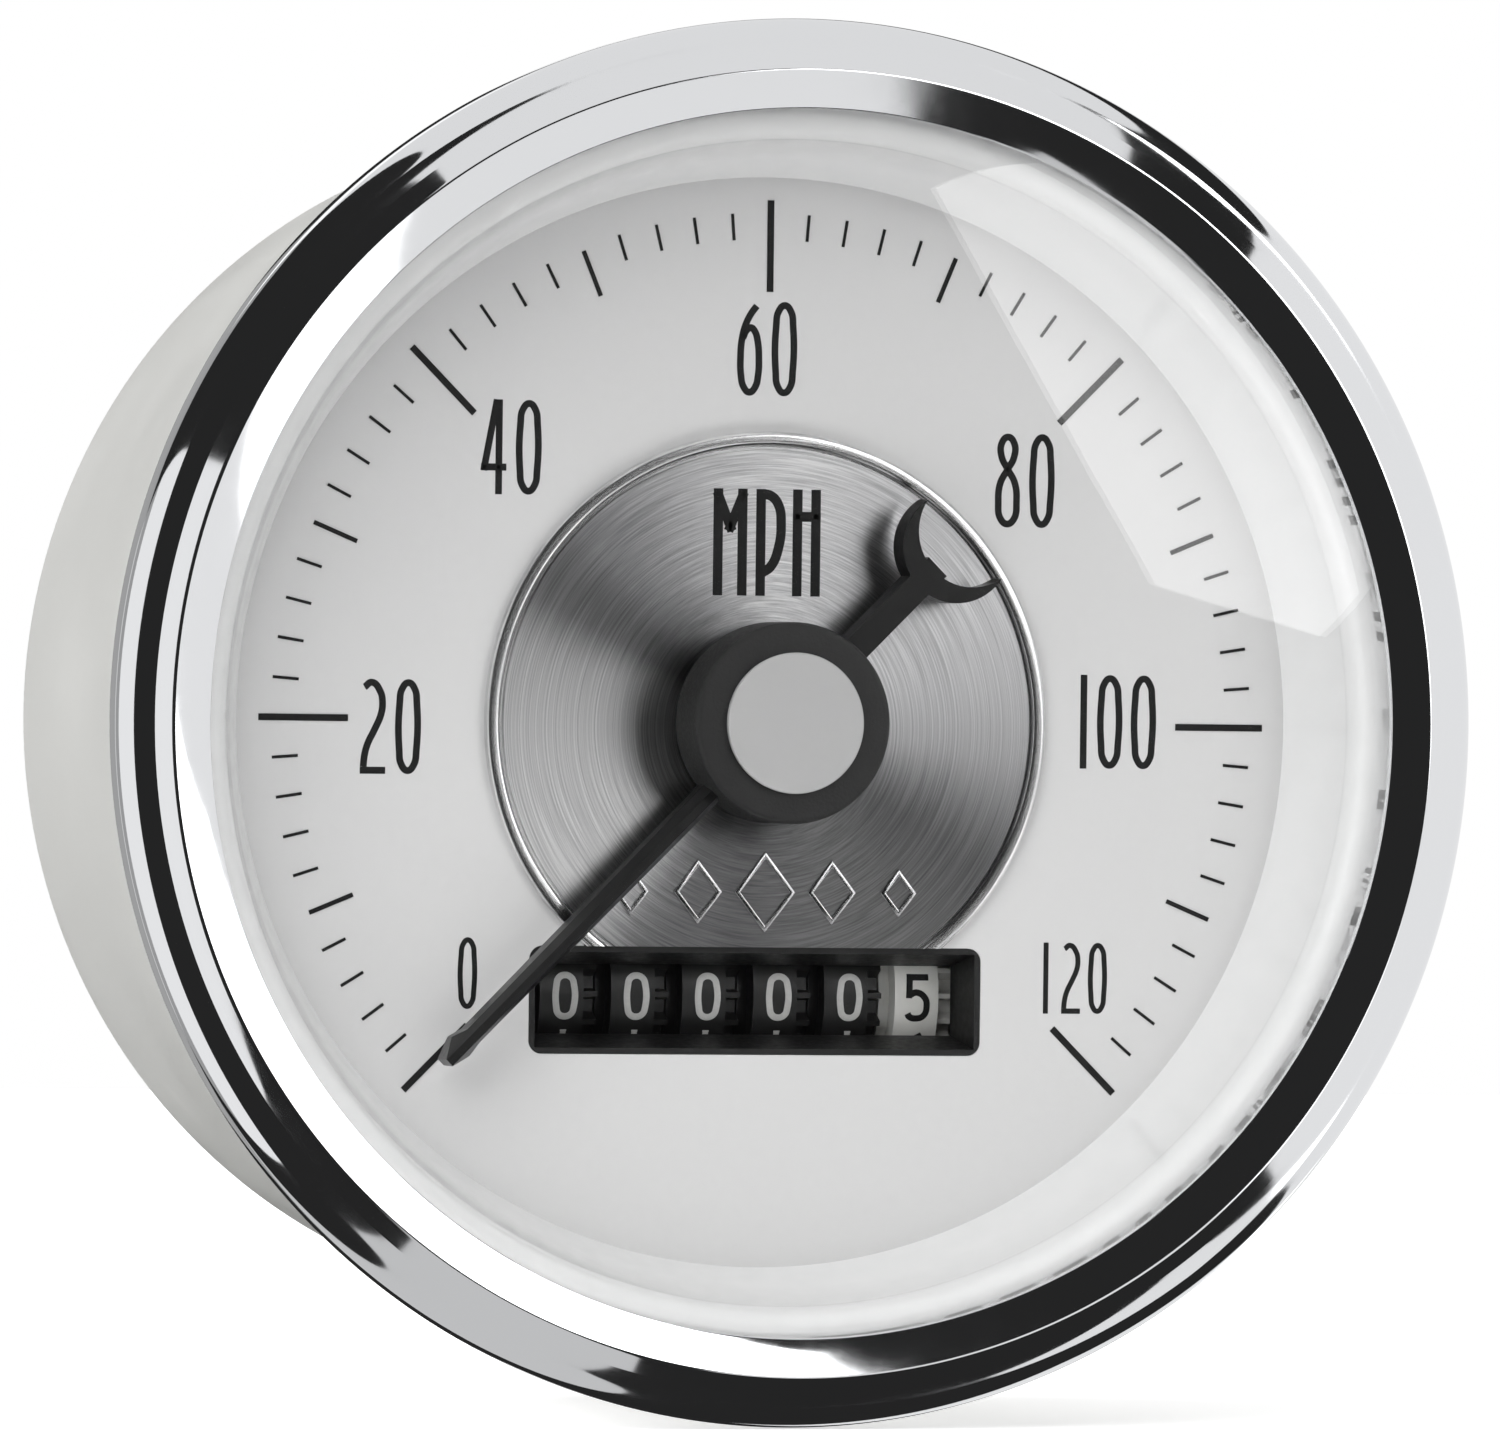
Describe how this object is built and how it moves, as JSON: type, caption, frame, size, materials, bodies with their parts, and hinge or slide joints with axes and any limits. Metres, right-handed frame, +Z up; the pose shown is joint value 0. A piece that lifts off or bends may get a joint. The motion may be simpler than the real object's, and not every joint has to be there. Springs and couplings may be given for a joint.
{
  "type": "speedometer",
  "caption": "Round in-dash mechanical speedometer with plated bezel, white dial, black pointer and drum odometer, driven by a cable at its back.",
  "frame": {"origin": "on the dial's axis, in the plane where the bezel's back seats on the panel", "axes": "+Y along the dial's axis from the dial to the cable, +Z up when the dial is read, +X to its right"},
  "size_m": [0.0924, 0.0702, 0.0924],
  "materials": {
    "chrome": "polished chrome plate",
    "rubber_black": "moulded rubber",
    "glass": "clear polished glass",
    "white_ring": "gloss white enamel",
    "dial_white": "satin white print on steel",
    "print_black": "black screen print",
    "brushed_disc": "circular brushed",
    "black_satin": "satin moulded black",
    "pointer_black": "fine grained moulded black",
    "cap_grey": "satin grey",
    "steel": "turned bright steel",
    "aluminium": "spun",
    "brass": "turned brass",
    "spring_steel": "blued strip",
    "plated_steel": "zinc plated sheet",
    "zinc_casting": "as cast zinc alloy",
    "zinc_turned": "turned and threaded",
    "bronze": "sintered bronze",
    "magnet_grey": "ground cast magnet",
    "nylon": "natural nylon",
    "drum_black": "moulded black",
    "drum_white": "moulded off-white",
    "plated_case": "bright zinc plate on drawn steel",
    "socket_black": "moulded black",
    "bulb_glass": "clear bulb",
    "stud_steel": "bright zinc plate"
  },
  "bodies": {
    "housing": {"bezel": "chrome", "lens_gasket": "rubber_black", "lens": "glass", "reflector_ring": "white_ring", "dial_plate": "dial_white", "dial_marks": "print_black", "centre_disc": "brushed_disc", "disc_ornament": "brushed_disc", "odometer_shroud": "black_satin", "hairspring": "spring_steel", "spring_stud": "brass", "spindle_bush": "brass", "bridge_plate": "plated_steel", "bridge_screws": "steel", "dial_screws": "steel", "stop_pin": "steel", "movement_frame": "zinc_casting", "cable_nose": "zinc_turned", "input_bush": "bronze", "idler_stub": "steel", "odometer_axle": "steel", "carry_shaft": "steel", "side_plate_left": "plated_steel", "side_plate_right": "plated_steel", "side_plate_screws": "steel", "case": "plated_case", "lamp_sockets": "socket_black", "lamp_bulbs": "bulb_glass", "mounting_studs": "stud_steel", "stud_washers": "stud_steel"},
    "pointer": {"pointer_blade": "pointer_black", "pointer_hub": "pointer_black", "pointer_cap": "cap_grey", "spindle": "steel", "speed_cup": "aluminium", "spring_collet": "brass"},
    "cable_input": {"input_shaft": "steel", "magnet": "magnet_grey", "field_cup": "plated_steel", "input_worm": "brass"},
    "cross_shaft_set": {"cross_shaft": "steel", "cross_wheel": "nylon", "cross_worm": "brass"},
    "countershaft_set": {"countershaft": "steel", "counter_wheel": "nylon", "drive_pinion": "brass"},
    "idler": {"idler_gear": "nylon"},
    "drum_tenths_body": {"drum_tenths": "drum_white"},
    "drum_units_body": {"drum_units": "drum_black"},
    "drum_tens_body": {"drum_tens": "drum_black"},
    "drum_hundreds_body": {"drum_hundreds": "drum_black"},
    "drum_thousands_body": {"drum_thousands": "drum_black"},
    "drum_ten_thousands_body": {"drum_ten_thousands": "drum_black"},
    "carry_pinion_1_body": {"carry_pinion_1": "nylon"},
    "carry_pinion_2_body": {"carry_pinion_2": "nylon"},
    "carry_pinion_3_body": {"carry_pinion_3": "nylon"},
    "carry_pinion_4_body": {"carry_pinion_4": "nylon"},
    "carry_pinion_5_body": {"carry_pinion_5": "nylon"}
  },
  "joints": [
    {"name": "pointer_swing", "type": "hinge", "parent": "housing", "child": "pointer", "pos_m": [0, 0.004, 0], "axis": [0, 1, 0], "range_deg": [0, 270], "stiffness_Nm_per_rad": 0.00003, "springref_deg": -28.65},
    {"name": "cable_spin", "type": "hinge", "parent": "housing", "child": "cable_input", "pos_m": [0, 0.04031, 0], "axis": [0, 1, 0], "continuous": true},
    {"name": "cross_spin", "type": "hinge", "parent": "housing", "child": "cross_shaft_set", "pos_m": [0.00725, 0.04031, 0], "axis": [0, 0, 1], "continuous": true},
    {"name": "counter_spin", "type": "hinge", "parent": "housing", "child": "countershaft_set", "pos_m": [0.00725, 0.03306, -0.02006], "axis": [1, 0, 0], "continuous": true},
    {"name": "idler_spin", "type": "hinge", "parent": "housing", "child": "idler", "pos_m": [0.014, 0.02683, -0.01688], "axis": [1, 0, 0], "continuous": true},
    {"name": "drum_tenths_spin", "type": "hinge", "parent": "housing", "child": "drum_tenths_body", "pos_m": [0.01225, 0.0169, -0.0181], "axis": [1, 0, 0], "continuous": true},
    {"name": "drum_units_spin", "type": "hinge", "parent": "housing", "child": "drum_units_body", "pos_m": [0.00735, 0.0169, -0.0181], "axis": [1, 0, 0], "continuous": true},
    {"name": "drum_tens_spin", "type": "hinge", "parent": "housing", "child": "drum_tens_body", "pos_m": [0.00245, 0.0169, -0.0181], "axis": [1, 0, 0], "continuous": true},
    {"name": "drum_hundreds_spin", "type": "hinge", "parent": "housing", "child": "drum_hundreds_body", "pos_m": [-0.00245, 0.0169, -0.0181], "axis": [1, 0, 0], "continuous": true},
    {"name": "drum_thousands_spin", "type": "hinge", "parent": "housing", "child": "drum_thousands_body", "pos_m": [-0.00735, 0.0169, -0.0181], "axis": [1, 0, 0], "continuous": true},
    {"name": "drum_ten_thousands_spin", "type": "hinge", "parent": "housing", "child": "drum_ten_thousands_body", "pos_m": [-0.01225, 0.0169, -0.0181], "axis": [1, 0, 0], "continuous": true},
    {"name": "carry_pinion_1_spin", "type": "hinge", "parent": "housing", "child": "carry_pinion_1_body", "pos_m": [-0.01015, 0.02235, -0.02355], "axis": [1, 0, 0], "continuous": true},
    {"name": "carry_pinion_2_spin", "type": "hinge", "parent": "housing", "child": "carry_pinion_2_body", "pos_m": [-0.00525, 0.02235, -0.02355], "axis": [1, 0, 0], "continuous": true},
    {"name": "carry_pinion_3_spin", "type": "hinge", "parent": "housing", "child": "carry_pinion_3_body", "pos_m": [-0.00035, 0.02235, -0.02355], "axis": [1, 0, 0], "continuous": true},
    {"name": "carry_pinion_4_spin", "type": "hinge", "parent": "housing", "child": "carry_pinion_4_body", "pos_m": [0.00455, 0.02235, -0.02355], "axis": [1, 0, 0], "continuous": true},
    {"name": "carry_pinion_5_spin", "type": "hinge", "parent": "housing", "child": "carry_pinion_5_body", "pos_m": [0.00945, 0.02235, -0.02355], "axis": [1, 0, 0], "continuous": true}
  ],
  "couplings": [
    {"joint": "cross_spin", "follows": "cable_spin", "ratio": 0.05},
    {"joint": "counter_spin", "follows": "cable_spin", "ratio": -0.0025},
    {"joint": "idler_spin", "follows": "cable_spin", "ratio": 0.001},
    {"joint": "drum_tenths_spin", "follows": "cable_spin", "ratio": -0.001},
    {"joint": "drum_units_spin", "follows": "cable_spin", "ratio": -0.0001},
    {"joint": "drum_tens_spin", "follows": "cable_spin", "ratio": -0.00001},
    {"joint": "drum_hundreds_spin", "follows": "cable_spin", "ratio": -0.000001},
    {"joint": "drum_thousands_spin", "follows": "cable_spin", "ratio": -0.0000001},
    {"joint": "drum_ten_thousands_spin", "follows": "cable_spin", "ratio": -0.00000001},
    {"joint": "carry_pinion_1_spin", "follows": "cable_spin", "ratio": 0.000000025},
    {"joint": "carry_pinion_2_spin", "follows": "cable_spin", "ratio": 0.00000025},
    {"joint": "carry_pinion_3_spin", "follows": "cable_spin", "ratio": 0.0000025},
    {"joint": "carry_pinion_4_spin", "follows": "cable_spin", "ratio": 0.000025},
    {"joint": "carry_pinion_5_spin", "follows": "cable_spin", "ratio": 0.00025}
  ]
}
